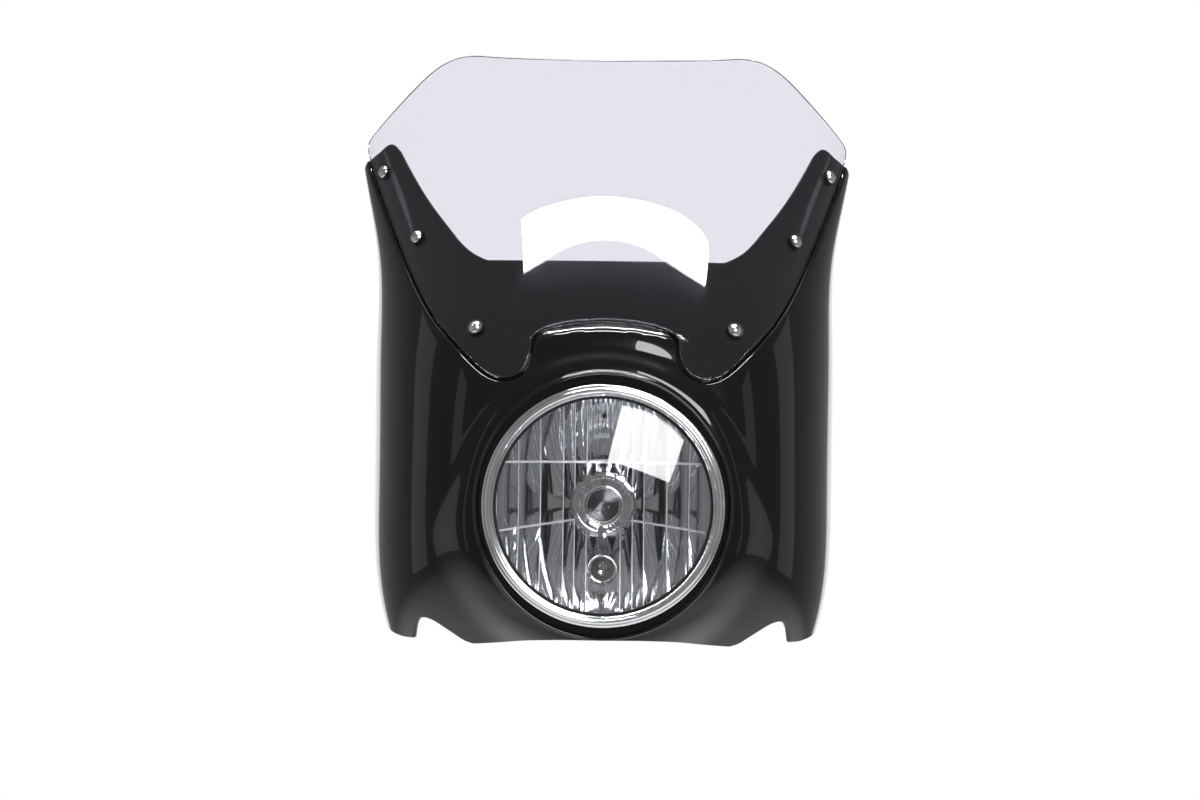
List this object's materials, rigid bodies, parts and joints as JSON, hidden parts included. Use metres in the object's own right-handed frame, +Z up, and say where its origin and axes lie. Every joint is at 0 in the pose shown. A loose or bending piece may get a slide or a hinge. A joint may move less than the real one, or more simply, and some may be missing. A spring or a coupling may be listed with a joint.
{
  "type": "cockpit fairing",
  "caption": "Motorbike cockpit fairing: gloss black moulded shell with a clear screen set into it, a round headlight in a lipped mouth and a folded mounting bracket behind.",
  "frame": {"origin": "centre of the bracket's four mounting holes, on the rear face of its back plate and on the headlight's axis", "axes": "+Z up, +Y rearwards out of the mounting face, +X to the right as seen from in front"},
  "size_m": [0.4108, 0.2616, 0.4878],
  "materials": {
    "black_shell": "deep gloss black with a clear coat",
    "clear_screen": "clear moulded sheet with a faint cool tint",
    "polished_steel": "polished stainless steel",
    "black_rubber": "matt black rubber",
    "zinc_steel": "bright zinc plate",
    "chrome_rim": "bright chrome plate",
    "lamp_glass": "clear smooth glass",
    "mirror_coat": "aluminised mirror",
    "bulb_glass": "clear lamp glass",
    "socket_metal": "bright turned metal",
    "black_paint": "satin black powder coat",
    "black_nylon": "black nylon"
  },
  "bodies": {
    "fairing": {"fairing_shell": "black_shell", "windscreen": "clear_screen", "windscreen_screws": "polished_steel", "screen_washers": "black_rubber", "screen_nuts": "zinc_steel", "pivot_washers": "black_nylon", "headlight_bracket": "black_paint", "upper_stay_left": "black_paint", "upper_stay_right": "black_paint", "lower_stay_left": "black_paint", "lower_stay_right": "black_paint", "shell_bolts": "zinc_steel", "bracket_bolts": "zinc_steel", "bracket_nuts": "zinc_steel"},
    "headlight": {"headlight_rim": "chrome_rim", "headlight_lens": "lamp_glass", "lens_seal": "black_rubber", "reflector": "mirror_coat", "bulb_shield": "polished_steel", "headlight_bulb": "bulb_glass", "bulb_clip": "zinc_steel", "dust_boot": "black_rubber", "parking_socket": "socket_metal", "parking_bulb": "bulb_glass", "headlight_housing": "black_paint", "cable_grommet": "black_rubber", "pivot_bolts": "zinc_steel", "pivot_nuts": "zinc_steel"}
  },
  "joints": [
    {"name": "headlight_tilt", "type": "hinge", "parent": "fairing", "child": "headlight", "pos_m": [0, -0.132, 0], "axis": [1, 0, 0], "range_deg": [-3, 3]}
  ]
}
